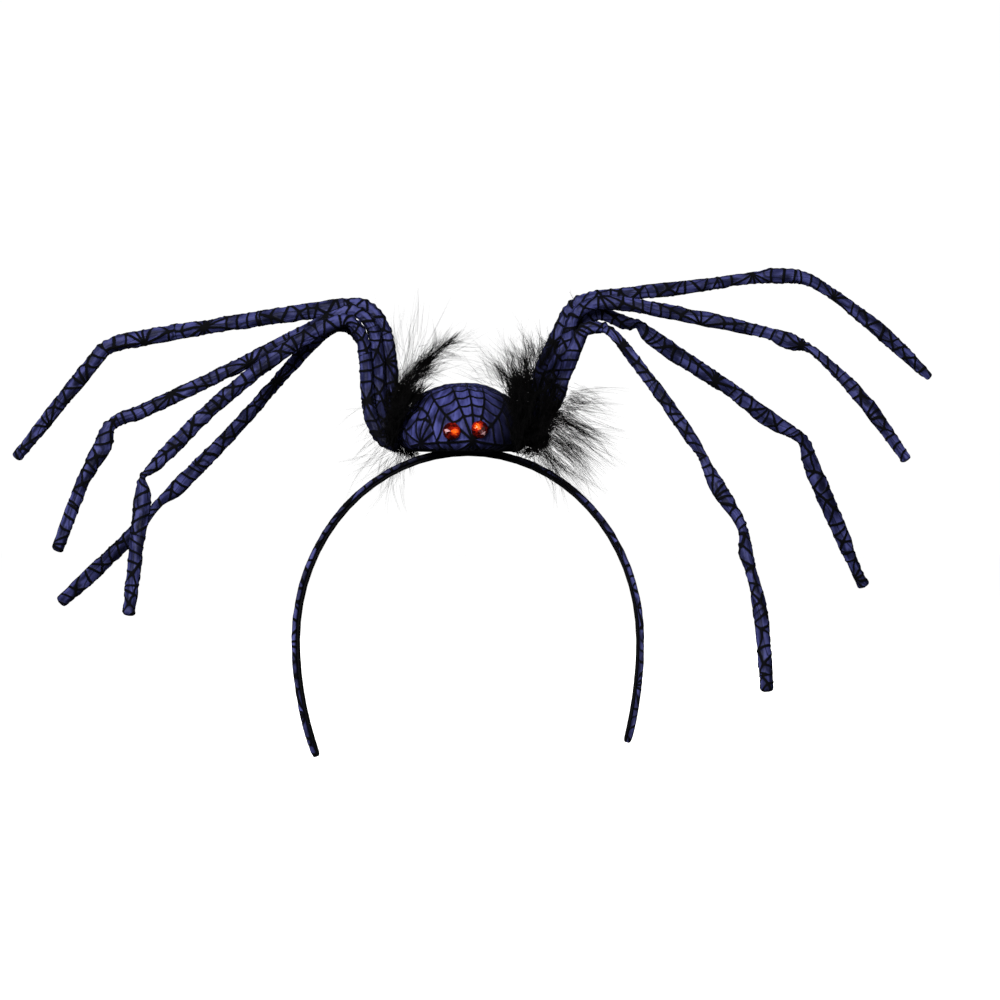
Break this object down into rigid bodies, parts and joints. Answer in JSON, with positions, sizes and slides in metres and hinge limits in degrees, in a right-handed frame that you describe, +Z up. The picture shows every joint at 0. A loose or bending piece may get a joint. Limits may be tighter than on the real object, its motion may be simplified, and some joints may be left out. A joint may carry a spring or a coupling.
{
  "type": "spider headband",
  "caption": "Costume head band with a padded spider on top: long bent fabric legs to both sides, faceted stone eyes and black feather tufts.",
  "frame": {"origin": "underside of the band's crown, in the middle of its width, where the band sits on a head", "axes": "+Z up, +X across the head to the viewer's right, +Y to the back of the head, so the spider's eyes look along -Y"},
  "size_m": [0.3704, 0.0779, 0.1963],
  "materials": {
    "printed_satin": "blue-violet satin with a raised black web print",
    "black_lining": "matt black ribbon",
    "orange_stone": "clear faceted acrylic over foil",
    "black_feather": "soft black down"
  },
  "bodies": {
    "root": {"headband": "printed_satin", "band_lining": "black_lining", "spider_body": "printed_satin", "eye_left": "orange_stone", "eye_right": "orange_stone", "leg_left_1": "printed_satin", "leg_left_2": "printed_satin", "leg_left_3": "printed_satin", "leg_left_4": "printed_satin", "leg_right_1": "printed_satin", "leg_right_2": "printed_satin", "leg_right_3": "printed_satin", "leg_right_4": "printed_satin", "feather_left_high": "black_feather", "feather_left_low": "black_feather", "feather_right_high": "black_feather", "feather_right_low": "black_feather"}
  },
  "joints": []
}
